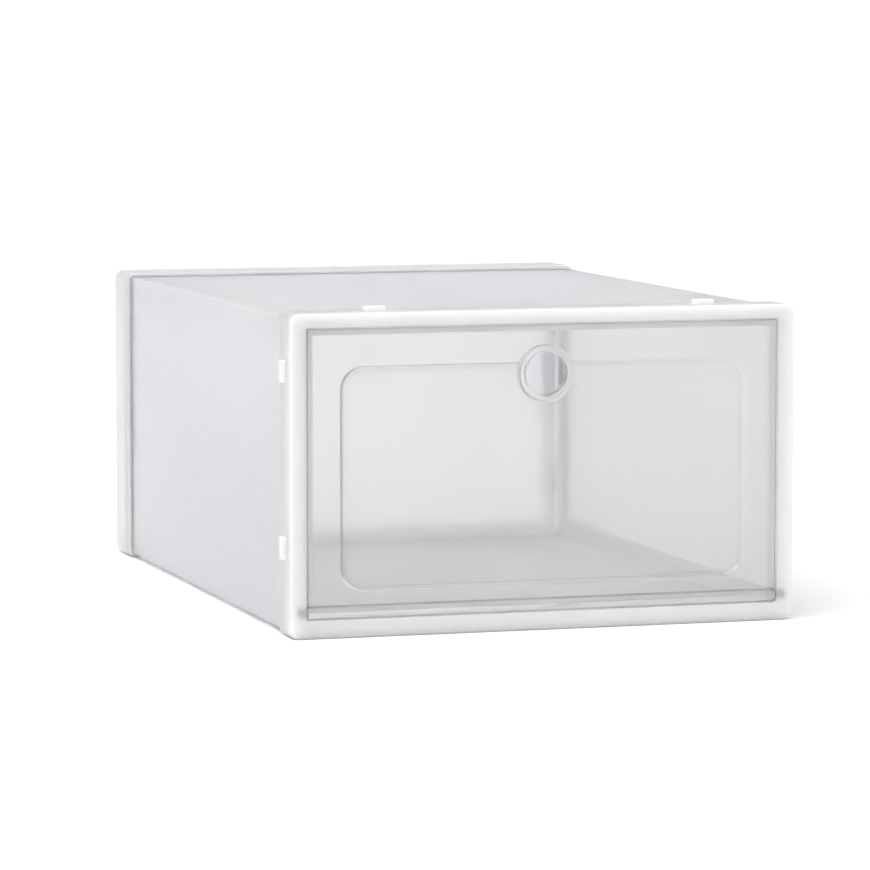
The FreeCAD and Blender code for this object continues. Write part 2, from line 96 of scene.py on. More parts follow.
class FrameSizes(PropertyGroup):
    """Both moulded frames."""

    wall: length("Wall", 2.0, "Outer wall of both frames")
    corner: length("Outer Corner", 4.0, "Outer corner of both frames, seen from the front")
    edge_round: length("Rounded Edge", 1.0, "Rounded edges outside and around the rails")
    small_round: length("Small Round", 0.25, "Rounded edges out of sight")
    inner_corner: length("Inner Corner", 0.3, "Corner of the cavity that the panels fill")
    opening_corner: length("Opening Corner", 0.8, "Inner corner of both rails")
    side_rail: length("Side Rail", 7.5, "Front rail beside the door")
    top_rail: length("Top Rail", 6.5, "Front rail above the door")
    bottom_rail: length("Bottom Rail", 8.0, "Front rail below the door")
    rail_back: length("Rail Thickness", 2.6, "From the front rail's face to its back")
    lip_reach: length("Stop Reach", 3.0, "How far the door stop reaches past the rail")
    lip_thickness: length("Stop Thickness", 1.6, "Lip that stops the door")
    rear_rail: length("Rear Rail", 8.0, "Rail around the rear opening")
    rear_rail_thickness: length("Rear Rail Thickness", 2.4, "Thickness of that rail")
    groove_outside: length("Groove Outside", 3.6, "From the case's side to the groove's inner wall")
    groove_inside: length("Groove Inside", 5.0, "From the case's side to that wall's inner face")
    groove_web: length("Groove Web", 1.5, "Floor of the panels' groove")
    groove_depth: length("Groove Depth", 7.0, "How far a groove takes a panel")


class TabSizes(PropertyGroup):
    """Stacking tabs, the slots that take them, and the door's catch ribs."""

    along: length("Tab Length", 10.0, "Tab along the case's edge")
    across: length("Tab Width", 4.4, "Tab from front to back")
    corner: length("Tab Corner", 1.2, "Corner of a tab")
    lead_in: length("Lead-In", 0.6, "Rounded end of a tab")
    clearance: length("Slot Clearance", 0.4, "Around a tab in its slot")
    setback: length("Setback", 8.5, "From the front rail to a tab's middle")
    top_margin: length("Top Tab Margin", 40.0, "From the case's side to a top tab")
    upper_drop: length("Upper Tab Drop", 25.0, "From the case's top to the upper side tab")
    lower_height: length("Lower Tab Height", 39.0, "From the ground to the lower side tab")
    catch_along: length("Catch Length", 10.0, "Rib that grips the shut door")
    catch_across: length("Catch Width", 1.0, "That rib, from front to back")
    catch_rise: length("Catch Rise", 0.3, "That rib, towards the door")
    catch_drop: length("Catch Drop", 22.0, "From the case's top to that rib")


class DoorSizes(PropertyGroup):
    """The clear door."""

    inset: length("Inset", 0.4, "Door's face behind the rail's face")
    thickness: length("Thickness", 2.0, "Door's wall")
    gap: length("Gap", 0.5, "Between the door and the rails")
    edge_round: length("Rounded Edge", 0.45, "Rounded edges of the door")
    barrel: length("Barrel Radius", 3.0, "Rolled lower edge")
    pin: length("Pin Radius", 2.0, "Hinge pins")
    pin_clearance: length("Pin Clearance", 0.08, "Running clearance of a hinge pin")
    block_cover: length("Block Cover", 1.2, "Hinge block's material past the barrel")
    field_side: length("Field Side Margin", 24.0, "From the case's side to the sunk field")
    field_top: length("Field Top Margin", 24.5, "From the case's top to the sunk field")
    field_bottom: length("Field Bottom Margin", 21.5, "From the ground to the sunk field")
    field_corner: length("Field Corner", 9.0, "Corner of the sunk field")
    field_depth: length("Field Depth", 1.6, "Depth of the sunk field")
    field_slope: length("Field Slope", 2.4, "Width of the slope around the field")
    ring_drop: length("Ring Drop", 28.0, "From the case's top to the ring's middle")
    ring_radius: length("Ring Radius", 12.5, "Outside of the finger ring")
    hole_radius: length("Hole Radius", 9.5, "Finger hole")
    ring_rise: length("Ring Rise", 2.0, "Ring in front of the door's face")
    ring_round: length("Ring Round", 0.9, "Rounded front of the ring")


class PanelSizes(PropertyGroup):
    """The five frosted panels."""

    corner: length("Corner", 0.4, "Corner of a panel, square to its face")
    edge_round: length("Rounded Edge", 0.3, "Rounded edges of a panel")
    thickness: length("Thickness", 1.4, "Every panel and flange")
    flange_depth: length("Flange Depth", 8.0, "Side flange of the top and bottom panels")
    flange_end_gap: length("Flange End Gap", 1.0, "Between a flange's end and the frames")
    nub_along: length("Nub Length", 12.0, "Snap nub on a flange")
    nub_across: length("Nub Height", 2.6, "Height of that nub")
    nub_rise: length("Nub Rise", 0.8, "That nub, off its flange")
    nub_drop: length("Nub Drop", 4.5, "From the flange's root to the nub's middle")
    nub_margin: length("Nub Margin", 34.0, "From a flange's end to its first nub")
    dimple_clearance: length("Dimple Clearance", 0.3, "Around a nub in its dimple")
    dimple_depth: length("Dimple Depth", 0.8, "Dimple that takes a nub")
    rib_along: length("Rib Length", 16.0, "Snap rib that holds the back panel")
    rib_across: length("Rib Thickness", 1.4, "That rib, from front to back")
    rib_reach: length("Rib Reach", 2.4, "That rib, over the back panel")
    rib_margin: length("Rib Margin", 30.0, "From the case's corner to a rib's middle")


class Finish(PropertyGroup):
    """Colours and finishes of the three plastics."""

    frame_colour: colour("Frame", (0.82, 0.82, 0.82), "Milky moulded plastic")
    frame_depth: length("Frame Milkiness Depth", 20.0, "How far light wanders inside the frames")
    frame_roughness: factor("Frame Roughness", 0.34, "Satin of the moulded frames")
    panel_colour: colour("Panel", (0.975, 0.968, 0.993), "Frosted sheet")
    panel_clear: factor("Panel Clearness", 0.85, "Share of light that each frosted face lets through")
    panel_roughness: factor("Panel Roughness", 0.85, "Frosting of the sheet")
    door_colour: colour("Door", (0.965, 0.955, 0.945), "Tint of the clear door")
    door_haze: factor("Door Haze", 0.19, "Share of light that the clear door scatters")
    door_roughness: factor("Door Roughness", 0.05, "Gloss of the clear door")


class StageSizes(PropertyGroup):
    """Camera, floor and lights."""

    azimuth: FloatProperty(name="Azimuth", description="Camera's turn to the right of the front",
                           default=math.radians(-17.0), unit="ROTATION")
    elevation: FloatProperty(name="Elevation", description="Camera's height above the horizon",
                             default=math.radians(5.5), unit="ROTATION")
    distance: FloatProperty(name="Distance", description="From the camera to the case's middle",
                            default=2.15, unit="LENGTH")
    lens: FloatProperty(name="Lens", description="Focal length", default=190.0, unit="CAMERA")
    floor_radius: FloatProperty(name="Floor Radius", description="Reach of the floor", default=400.0,
                                unit="LENGTH")
    floor_colour: colour("Floor", (0.965, 0.965, 0.97), "Pale studio floor")
    steps: IntProperty(name="Arc Steps", description="Faces in a quarter of a rounded edge", default=5,
                       min=2)


class ShoeBoxSettings(PropertyGroup):
    """All that the sidebar shows."""

    frames: PointerProperty(type=FrameSizes)
    tabs: PointerProperty(type=TabSizes)
    door: PointerProperty(type=DoorSizes)
    panels: PointerProperty(type=PanelSizes)
    finish: PointerProperty(type=Finish)
    stage: PointerProperty(type=StageSizes)


# ---------------------------------------------------------------- surfaces

LEAST_PILLOW_CORNER = 0.2  # of the rounded edge: the smallest corner of a pillow's loops
LEAST_STUD_CORNER = 0.3  # of the stud's corner: the smallest corner of its loops


def grid_faces(rows, columns, wrap_rows=False, wrap_columns=False):
    """Quads of a grid whose points are numbered row by row: each joins a point to its neighbours."""
    row = np.arange(rows if wrap_rows else rows - 1)[:, None]
    column = np.arange(columns if wrap_columns else columns - 1)[None, :]
    next_row, next_column = (row + 1) % rows, (column + 1) % columns
    quads = [row * columns + column, row * columns + next_column,
             next_row * columns + next_column, next_row * columns + column]
    return np.stack([np.broadcast_to(q, quads[0].shape) for q in quads], axis=-1).reshape(-1, 4)


def rounded_outline(corners, radii, steps):
    """A closed outline with square turns, each turn replaced by a quarter circle.

    With unit vectors a and b from a corner P to the next and to the previous one, the circle's centre
    is P + r (a + b), and its points are that centre less r (a cos t + b sin t), for t from 0 to a right
    angle.
    """
    corners = np.asarray(corners, float)
    back = np.roll(corners, 1, axis=0) - corners
    ahead = np.roll(corners, -1, axis=0) - corners
    back /= np.linalg.norm(back, axis=1, keepdims=True)
    ahead /= np.linalg.norm(ahead, axis=1, keepdims=True)
    radii = np.broadcast_to(radii, len(corners))[:, None]
    centre = corners + radii * (back + ahead)
    turn = np.linspace(0, np.pi / 2, steps + 1)[None, :, None]
    arc = ahead[:, None] * np.cos(turn) + back[:, None] * np.sin(turn)
    return (centre[:, None] - radii[:, None] * arc).reshape(-1, 2)


def rounded_loops(low_a, high_a, low_b, high_b, radius, steps):
    """Rounded rectangles in a plane, one for each entry of the arrays: (loops, points) of a and of b.

    Each corner's points are its centre, which is the radius inside both sides, plus the radius times
    the cosine and sine of an angle that goes once round the four corners.
    """
    low_a, high_a, low_b, high_b, radius = (
        np.atleast_1d(v)[:, None] for v in np.broadcast_arrays(low_a, high_a, low_b, high_b, radius))
    quarter = np.linspace(0, np.pi / 2, steps + 1)
    angle = ((np.arange(4)[:, None] - 1) * np.pi / 2 + quarter).ravel()
    at_high_a = np.repeat([True, True, False, False], steps + 1)
    at_high_b = np.repeat([False, True, True, False], steps + 1)
    centre_a = np.where(at_high_a, high_a - radius, low_a + radius)
    centre_b = np.where(at_high_b, high_b - radius, low_b + radius)
    return centre_a + radius * np.cos(angle), centre_b + radius * np.sin(angle)


def in_axes(axis, a, b, along):
    """Points at `along` on an axis, and at a and b on the other two, taken in X, Y, Z order."""
    order = [k for k in range(3) if k != axis]
    points = np.empty(np.broadcast(a, b, along).shape + (3,))
    points[..., order[0]], points[..., order[1]], points[..., axis] = a, b, along
    return points


def shell(points, wrap_rows=False):
    """A surface through closed loops (loops, points, 3). Unless it wraps, both ends are closed flat."""
    loops, count = points.shape[:2]
    faces = grid_faces(loops, count, wrap_rows, True).tolist()
    if not wrap_rows:
        faces += [list(range(count)), list(range((loops - 1) * count, loops * count))]
    return points.reshape(-1, 3), faces


def pillow(low, high, axis, corner, edge, steps):
    """A flat block between two corners, thin along one axis, with every edge rounded.

    Its loops are rounded rectangles, whose distance inside the block's sides and whose place along the
    axis follow a quarter circle of radius `edge` up to the rim, and another down to the far face.
    """
    a, b = [k for k in range(3) if k != axis]
    turn = np.linspace(0, np.pi / 2, steps + 1)
    inset = edge * (1 - np.concatenate([np.sin(turn), np.cos(turn)]))
    along = np.concatenate([low[axis] + edge * (1 - np.cos(turn)),
                            high[axis] - edge * (1 - np.sin(turn))])
    loop_a, loop_b = rounded_loops(low[a] + inset, high[a] - inset, low[b] + inset, high[b] - inset,
                                   np.maximum(corner - inset, edge * LEAST_PILLOW_CORNER), steps)
    return shell(in_axes(axis, loop_a, loop_b, along[:, None]))


def stud(base, tip, size, axis, corner, lead_in, steps):
    """A block that stands on a face from `base` to `tip`, with rounded sides and a rounded end.

    Near the tip its loops shrink along a quarter circle of radius `lead_in`.
    """
    turn = np.linspace(0, np.pi / 2, steps + 1)
    inset = np.concatenate([[0.0], lead_in * (1 - np.cos(turn))])
    towards = np.sign(tip[axis] - base[axis])
    rise = tip[axis] - towards * lead_in * (1 - np.sin(turn))
    along = np.concatenate([[base[axis]], rise])
    a, b = [k for k in range(3) if k != axis]
    loop_a, loop_b = rounded_loops(base[a] - size[0] / 2 + inset, base[a] + size[0] / 2 - inset,
                                   base[b] - size[1] / 2 + inset, base[b] + size[1] / 2 - inset,
                                   np.maximum(corner - inset, corner * LEAST_STUD_CORNER), steps)
    return shell(in_axes(axis, loop_a, loop_b, along[:, None]))


def block(low, high):
    """A plain block between two corners, for cutting."""
    x, y, z = zip(low, high)
    loop_x, loop_z = rounded_loops(x[0], x[1], z[0], z[1], 0.0, 1)
    points = in_axes(1, loop_x, loop_z, np.array(y)[:, None])
    return shell(points[:, ::2])


def turned(profile, centre, axis, count, closed):
    """A profile of (radius, place along the axis) turned once about the line through `centre`."""
    angle = np.linspace(0, 2 * np.pi, count, endpoint=False)
    a, b = [k for k in range(3) if k != axis]
    radius, along = profile[:, :1], profile[:, 1:]
    points = in_axes(axis, centre[a] + radius * np.cos(angle), centre[b] + radius * np.sin(angle),
                     along)
    return shell(points, wrap_rows=closed)


# ---------------------------------------------------------------- pieces

MERGE_DISTANCE = 1e-7
SMOOTH_ANGLE = math.radians(35.0)  # sharper edges than this are shaded as creases


def new_object(name, shells):
    """One mesh object from closed shells of (points, faces), with its faces turned outwards."""
    points = np.concatenate([p for p, _ in shells])
    starts = np.cumsum([0] + [len(p) for p, _ in shells[:-1]])
    faces = [[start + i for i in face] for start, (_, part) in zip(starts, shells) for face in part]
    mesh = bpy.data.meshes.new(name)
    mesh.from_pydata(points.tolist(), [], faces)
    piece = bpy.data.objects.new(name, mesh)
    bpy.context.scene.collection.objects.link(piece)
    face_outwards(mesh)
    return piece


def face_outwards(mesh):
    """Merges the points that lie on each other and turns every face outwards."""
    solid = bmesh.new()
    solid.from_mesh(mesh)
    bmesh.ops.remove_doubles(solid, verts=solid.verts, dist=MERGE_DISTANCE)
    bmesh.ops.recalc_face_normals(solid, faces=solid.faces)
    solid.to_mesh(mesh)
    solid.free()


def join(piece, shells, operation):
    """Adds closed shells to a piece, or cuts them out of it, as an exact Boolean."""
    tool = new_object(piece.name + "_tool", shells)
    modifier = piece.modifiers.new(operation.title(), "BOOLEAN")
    modifier.operation, modifier.solver, modifier.object = operation, "EXACT", tool
    depsgraph = bpy.context.evaluated_depsgraph_get()
    mesh = bpy.data.meshes.new_from_object(piece.evaluated_get(depsgraph))
    piece.modifiers.clear()
    piece.data = mesh
    bpy.data.objects.remove(tool)


def check_closed(piece):
    """Stops the script if a piece has no faces, or an edge that isn't between exactly two of them."""
    mesh = piece.data
    edges = np.empty(len(mesh.loops), np.int32)
    mesh.loops.foreach_get("edge_index", edges)
    uses = np.bincount(edges, minlength=len(mesh.edges))
    if not len(mesh.polygons) or np.any(uses != 2):
        raise RuntimeError(f"{piece.name} is not a closed solid")


def finish_piece(piece, node, body, material):
    """Shades a piece, gives it its material, hangs it on its body's empty and hides the frame's node.
    """
    check_closed(piece)
    mesh = piece.data
    mesh.materials.clear()
    mesh.materials.append(material)
    mesh.polygons.foreach_set("use_smooth", np.ones(len(mesh.polygons), bool))
    mesh.set_sharp_from_angle(angle=SMOOTH_ANGLE)
    normals = piece.modifiers.new("Weighted Normal", "WEIGHTED_NORMAL")
    normals.keep_sharp = True
    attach(piece, body)
    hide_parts(node)


# ---------------------------------------------------------------- materials

PLASTIC_IOR = 1.49


class Nodes:
    """A new material's node tree, with short ways to add to it."""

    def __init__(self, name):
        self.material = bpy.data.materials.new(name)
        self.material.use_nodes = True
        self.tree = self.material.node_tree
        self.shader = self.tree.nodes["Principled BSDF"]

    def add(self, kind, **values):
        node = self.tree.nodes.new("ShaderNode" + kind)
        for name, value in values.items():
            setattr(node, name, value)
        return node

    def link(self, output, socket):
        self.tree.links.new(output, socket)

    def noise(self, scale, detail=2.0, stretch=(1.0, 1.0, 1.0)):
        """Noise on Object coordinates: `scale` features to a metre, divided along each axis."""
        place = self.add("TexCoord")
        mapping = self.add("Mapping")
        mapping.inputs["Scale"].default_value = [1 / s for s in stretch]
        self.link(place.outputs["Object"], mapping.inputs["Vector"])
        noise = self.add("TexNoise")
        noise.inputs["Scale"].default_value = scale
        noise.inputs["Detail"].default_value = detail
        self.link(mapping.outputs["Vector"], noise.inputs["Vector"])
        return noise.outputs["Fac"]

    def between(self, value, low, high):
        """A value from about 0.3 to 0.7 mapped to low and high."""
        span = self.add("MapRange")
        for name, number in (("From Min", 0.3), ("From Max", 0.7), ("To Min", low), ("To Max", high)):
            span.inputs[name].default_value = number
        self.link(value, span.inputs["Value"])
        return span.outputs["Result"]

    def tint(self, value, dark, light):
        """A colour between two, as a noise value goes from about 0.3 to 0.7."""
        ramp = self.add("ValToRGB")
        ramp.color_ramp.elements[0].position, ramp.color_ramp.elements[1].position = 0.3, 0.7
        ramp.color_ramp.elements[0].color = (*dark, 1.0)
        ramp.color_ramp.elements[1].color = (*light, 1.0)
        self.link(value, ramp.inputs["Fac"])
        self.link(ramp.outputs["Color"], self.shader.inputs["Base Color"])

    def bumps(self, *heights):
        """Bumps one on another: each a value, its strength and its height in metres."""
        before = None
        for value, strength, distance in heights:
            bump = self.add("Bump")
            bump.inputs["Strength"].default_value = strength
            bump.inputs["Distance"].default_value = distance
            self.link(value, bump.inputs["Height"])
            if before:
                self.link(before.outputs["Normal"], bump.inputs["Normal"])
            before = bump
        self.link(before.outputs["Normal"], self.shader.inputs["Normal"])


def shade(rgb, share):
    """A colour made darker or lighter by a share, and no lighter than white."""
    return tuple(min(c * share, 1.0) for c in rgb)


def milky_moulding(finish):
    """Milky satin moulded plastic: fine mould grain, faint sink marks and a little cloudiness."""
    nodes = Nodes("milky_moulding")
    base = tuple(finish.frame_colour)
    nodes.tint(nodes.noise(14.0, 3.0), shade(base, 0.975), shade(base, 1.02))
    roughness = finish.frame_roughness
    nodes.link(nodes.between(nodes.noise(90.0, 4.0), roughness - 0.05, roughness + 0.07),
               nodes.shader.inputs["Roughness"])
    nodes.bumps((nodes.noise(38.0), 0.25, 0.15 * MM), (nodes.noise(2400.0, 2.0), 0.12, 0.02 * MM))
    nodes.shader.inputs["IOR"].default_value = PLASTIC_IOR
    nodes.shader.inputs["Subsurface Weight"].default_value = 1.0
    nodes.shader.inputs["Subsurface Radius"].default_value = (1.0, 1.0, 1.0)
    nodes.shader.inputs["Subsurface Scale"].default_value = finish.frame_depth
    return nodes.material


def frosted_sheet(finish):
    """Frosted sheet: fine matt grain, long flow streaks and a soft unevenness in its milkiness."""
    nodes = Nodes("frosted_sheet")
    base = tuple(finish.panel_colour)
    nodes.tint(nodes.noise(9.0, 4.0, stretch=(1.0, 3.0, 1.0)), shade(base, 0.97), shade(base, 1.025))
    roughness = finish.panel_roughness
    nodes.link(nodes.between(nodes.noise(1400.0, 3.0), roughness - 0.06, roughness + 0.08),
               nodes.shader.inputs["Roughness"])
    nodes.bumps((nodes.noise(22.0, 1.0, stretch=(1.0, 2.5, 1.0)), 0.3, 0.2 * MM),
                (nodes.noise(3200.0, 2.0), 0.25, 0.02 * MM))
    nodes.shader.inputs["IOR"].default_value = PLASTIC_IOR
    nodes.shader.inputs["Transmission Weight"].default_value = finish.panel_clear
    nodes.shader.inputs["Coat Weight"].default_value = 0.2
    nodes.shader.inputs["Coat Roughness"].default_value = 0.4
    return nodes.material


def clear_moulding(finish):
    """Clear glossy plastic: a slight haze, soft flow waves, hairline scratches and a few smudges."""
    nodes = Nodes("clear_moulding")
    base = tuple(finish.door_colour)
    nodes.tint(nodes.noise(11.0, 3.0), shade(base, 0.985), shade(base, 1.01))
    roughness = finish.door_roughness
    nodes.link(nodes.between(nodes.noise(45.0, 5.0), roughness * 0.6, roughness * 1.7),
               nodes.shader.inputs["Roughness"])
    nodes.bumps((nodes.noise(16.0, 1.0), 0.2, 0.12 * MM),
                (nodes.noise(900.0, 2.0, stretch=(1.0, 1.0, 14.0)), 0.05, 0.01 * MM))
    nodes.shader.inputs["IOR"].default_value = PLASTIC_IOR
    nodes.shader.inputs["Transmission Weight"].default_value = 1.0 - finish.door_haze
    return nodes.material


def floor_paper(rgb):
    """Pale studio paper with a faint tooth."""
    nodes = Nodes("floor_paper")
    nodes.tint(nodes.noise(3.0, 2.0), shade(rgb, 0.995), shade(rgb, 1.005))
    nodes.bumps((nodes.noise(700.0, 2.0), 0.05, 0.05 * MM),)
    nodes.shader.inputs["Roughness"].default_value = 0.9
    return nodes.material


def material(make, finish):
    """The material that a function makes, made the first time it is asked for."""
    return bpy.data.materials.get(make.__name__) or make(finish)


# ---------------------------------------------------------------- frames

OUTER_SHARE = 0.75  # of the wall: the part of it, from outside, that follows the outer corner
SLOT_ROUND = 0.2  # of a tab's corner: the rounded bottom of the slot's cutter
RIB_ROUND = 0.8  # of a catch rib's rise: its rounded top
RELIEF_BELOW = 0.6 * MM  # how far the stop lip is cut away under the bottom rail's top
PANEL_GAP = 0.1 * MM  # between the back panel and the ribs that hold it


def frame_profile(sizes, rail, thickness, lip, depth, steps):
    """A frame's section as (inset from the case's side, distance from the rail's face) points.

    It goes from the rail's outer edge along the outside, round the panels' groove and the web to the
    back of the rail, with a stop lip there if `lip` holds its reach and its thickness.
    """
    groove = depth - sizes.groove_depth
    web = groove - sizes.groove_web
    large, small = sizes.edge_round, sizes.small_round
    turns = [
        ((0.0, 0.0), large),
        ((0.0, depth), large),
        ((sizes.wall, depth), small),
        ((sizes.wall, groove), small),
        ((sizes.groove_outside, groove), small),
        ((sizes.groove_outside, depth), small),
        ((sizes.groove_inside, depth), small),
        ((sizes.groove_inside, web), small),
        ((sizes.wall, web), small),
    ]
    if lip:
        reach, lip_thickness = lip
        turns += [
            ((sizes.wall, thickness + lip_thickness), small),
            ((rail + reach, thickness + lip_thickness), small),
            ((rail + reach, thickness), small),
        ]
    else:
        turns.append(((sizes.wall, thickness), small))
    turns += [((rail, thickness), small), ((rail, 0.0), large)]
    return rounded_outline([corner for corner, _ in turns], [radius for _, radius in turns], steps)


def frame_shell(sizes, rails, thickness, lip, face, depth, steps):
    """A frame's section carried around the case, with its own rail beside, above and below.

    Each point of the section becomes a rounded rectangle: its inset on each side of the case comes
    from the section with that side's rail, and its corner from how deep it lies in the wall.
    """
    side, top, bottom = (frame_profile(sizes, rail, thickness, lip, abs(depth), steps)
                         for rail in rails)
    inset = side[:, 0]
    in_wall = inset < sizes.wall * OUTER_SHARE
    at_rail = inset > sizes.groove_inside + sizes.small_round
    around = np.maximum(sizes.opening_corner + rails[0] - inset, sizes.inner_corner)
    corner = np.where(in_wall, sizes.corner - inset, np.where(at_rail, around, sizes.inner_corner))
    loop_x, loop_z = rounded_loops(CASE_LOW.x + inset, CASE_HIGH.x - inset,
                                   CASE_LOW.z + bottom[:, 0], CASE_HIGH.z - top[:, 0],
                                   corner, steps)
    along = face + math.copysign(1, depth) * side[:, 1]
    return shell(in_axes(1, loop_x, loop_z, along[:, None]), wrap_rows=True)


def tabs_and_slots(tabs, frames, steps):
    """Tabs on the top and the left, and the cutters of the slots on the bottom and the right."""
    y = CASE_FRONT + tabs.setback
    sink, past = frames.wall / 2, 2 * frames.wall
    top_x = CASE_HIGH.x - tabs.top_margin
    slot_round = tabs.corner * SLOT_ROUND
    along, across = tabs.along + 2 * tabs.clearance, tabs.across + 2 * tabs.clearance
    studs, cutters = [], []
    for x in (-top_x, top_x):
        studs.append(stud((x, y, CASE_HIGH.z - sink), (x, y, CASE_HIGH.z + TAB_RISE),
                          (tabs.along, tabs.across), 2, tabs.corner, tabs.lead_in, steps))
        cutters.append(stud((x, y, CASE_LOW.z - past), (x, y, CASE_LOW.z + past),
                            (along, across), 2, tabs.corner, slot_round, steps))
    for z in (CASE_HIGH.z - tabs.upper_drop, tabs.lower_height):
        studs.append(stud((CASE_LOW.x + sink, y, z), (CASE_LOW.x - TAB_RISE, y, z),
                          (tabs.across, tabs.along), 0, tabs.corner, tabs.lead_in, steps))
        cutters.append(stud((CASE_HIGH.x + past, y, z), (CASE_HIGH.x - past, y, z),
                            (across, along), 0, tabs.corner, slot_round, steps))
    return studs, cutters


def hinge_blocks(frames, door, steps):
    """A block behind each jamb that a pin turns in, and the cutters of both bores."""
    sink = frames.wall / 2
    front = CASE_FRONT + frames.rail_back - sink
    back = HINGE.y + door.barrel + door.block_cover
    top = HINGE.z + door.barrel + door.block_cover
    pin_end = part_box("door")[1].x
    blocks, bores = [], []
    for side in (LEFT, RIGHT):
        jamb = CASE_HIGH.x - frames.side_rail + 2 * HAIR
        ends = sorted((side * (CASE_HIGH.x - sink), side * jamb))
        blocks.append(pillow((ends[0], front, sink), (ends[1], back, top), 0, frames.inner_corner * 2,
                             frames.small_round, steps))
        radius = door.pin + door.pin_clearance
        mouth, bottom = side * (CASE_HIGH.x - 2 * frames.side_rail), side * (pin_end + door.inset)
        profile = np.array([(radius, mouth), (radius, bottom)])
        bores.append(turned(profile, HINGE, 0, 8 * steps, closed=False))
    return blocks, bores


def catches(frames, tabs, steps):
    """A low rib on each jamb that grips the edge of the shut door."""
    y, z = CASE_FRONT + frames.rail_back / 2, CASE_HIGH.z - tabs.catch_drop
    jamb = CASE_HIGH.x - frames.side_rail
    base, tip = jamb + frames.wall / 2, jamb - tabs.catch_rise
    return [stud((side * base, y, z), (side * tip, y, z), (tabs.catch_across, tabs.catch_along), 0,
                 tabs.catch_rise, tabs.catch_rise * RIB_ROUND, steps) for side in (LEFT, RIGHT)]


class SHOEBOX_OT_front_frame(Operator):
    """Build the front frame with its tabs, slots, hinge blocks and catch ribs"""

    bl_idname = "shoebox.front_frame"
    bl_label = "Front Frame"

    def execute(self, context):
        box = context.scene.shoe_box
        frames, steps = box.frames, box.stage.steps
        rails = (frames.side_rail, frames.top_rail, frames.bottom_rail)
        body = frame_shell(frames, rails, frames.rail_back, (frames.lip_reach, frames.lip_thickness),
                           CASE_FRONT, FRONT_FRAME_END - CASE_FRONT, steps)
        piece = new_object("front_frame_moulding", [body])
        studs, slots = tabs_and_slots(box.tabs, frames, steps)
        blocks, bores = hinge_blocks(frames, box.door, steps)
        jamb = CASE_HIGH.x - frames.side_rail
        relief_top = HINGE.z + box.door.barrel + box.door.block_cover
        lip_front = CASE_FRONT + frames.rail_back
        relief = block((-jamb - HAIR, lip_front - HAIR, frames.bottom_rail - RELIEF_BELOW),
                       (jamb + HAIR, lip_front + 2 * frames.lip_thickness, relief_top))
        join(piece, [relief], "DIFFERENCE")
        join(piece, studs + blocks + catches(frames, box.tabs, steps), "UNION")
        join(piece, slots + bores, "DIFFERENCE")
        finish_piece(piece, "front_frame", "case",
                     material(milky_moulding, box.finish))
        return {"FINISHED"}


class SHOEBOX_OT_rear_frame(Operator):
    """Build the rear frame with the snap ribs that hold the back panel"""

    bl_idname = "shoebox.rear_frame"
    bl_label = "Rear Frame"

    def execute(self, context):
        box = context.scene.shoe_box
        frames, panels, steps = box.frames, box.panels, box.stage.steps
        low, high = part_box("rear_frame")
        body = frame_shell(frames, (frames.rear_rail,) * 3, frames.rear_rail_thickness, None, high.y,
                           low.y - high.y, steps)
        piece = new_object("rear_frame_moulding", [body])
        join(piece, back_panel_ribs(frames, panels, steps), "UNION")
        finish_piece(piece, "rear_frame", "case",
                     material(milky_moulding, box.finish))
        return {"FINISHED"}


def back_panel_ribs(frames, panels, steps):
    """Two short ribs on each wall, just in front of the back panel."""
    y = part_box("back_panel")[0].y - PANEL_GAP - panels.rib_across / 2
    sink, reach = frames.wall / 2, frames.wall + panels.rib_reach
    small = frames.small_round
    ribs = []
    for side in (LEFT, RIGHT):
        x = side * (CASE_HIGH.x - panels.rib_margin)
        for wall, inwards in ((CASE_HIGH.z, -1), (CASE_LOW.z, 1)):
            ribs.append(stud((x, y, wall + inwards * sink), (x, y, wall + inwards * reach),
                             (panels.rib_along, panels.rib_across), 2, small, small, steps))
        for z in (CASE_HIGH.z - panels.rib_margin, CASE_LOW.z + panels.rib_margin):
            ribs.append(stud((side * (CASE_HIGH.x - sink), y, z), (side * (CASE_HIGH.x - reach), y, z),
                             (panels.rib_across, panels.rib_along), 0, small, small, steps))
    return ribs


# ---------------------------------------------------------------- panels


def nub_places(panels):
    """The three places along a flange where it snaps to a side panel."""
    start = FRONT_FRAME_END + panels.flange_end_gap
    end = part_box("rear_frame")[0].y - panels.flange_end_gap
    middle, pitch = (start + end) / 2, (end - start) / 2 - panels.nub_margin
    return start, end, [middle + place * pitch for place in (-1, 0, 1)]


class SHOEBOX_OT_side_panels(Operator):
    """Build the two side panels with the dimples in their inner faces"""

    bl_idname = "shoebox.side_panels"
    bl_label = "Side Panels"

    def execute(self, context):
        box = context.scene.shoe_box
        panels, steps = box.panels, box.stage.steps
        _, _, places = nub_places(panels)
        across = panels.nub_across + 2 * panels.dimple_clearance
        along = panels.nub_along + 2 * panels.dimple_clearance
        drop = panels.thickness + panels.nub_drop
        for name, side in (("left_panel", LEFT), ("right_panel", RIGHT)):
            low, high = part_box(name)
            piece = new_object(name + "_sheet", [pillow(low, high, 0, panels.corner, panels.edge_round,
                                                        steps)])
            inner_face = high.x if side == LEFT else low.x
            cutters = []
            for z in (high.z - drop, low.z + drop):
                for y in places:
                    base = (inner_face - side * panels.thickness, y, z)
                    tip = (inner_face + side * panels.dimple_depth, y, z)
                    cutters.append(stud(base, tip, (along, across), 0, panels.corner,
                                        panels.edge_round, steps))
            join(piece, cutters, "DIFFERENCE")
            finish_piece(piece, name, "case",
                         material(frosted_sheet, box.finish))
        return {"FINISHED"}


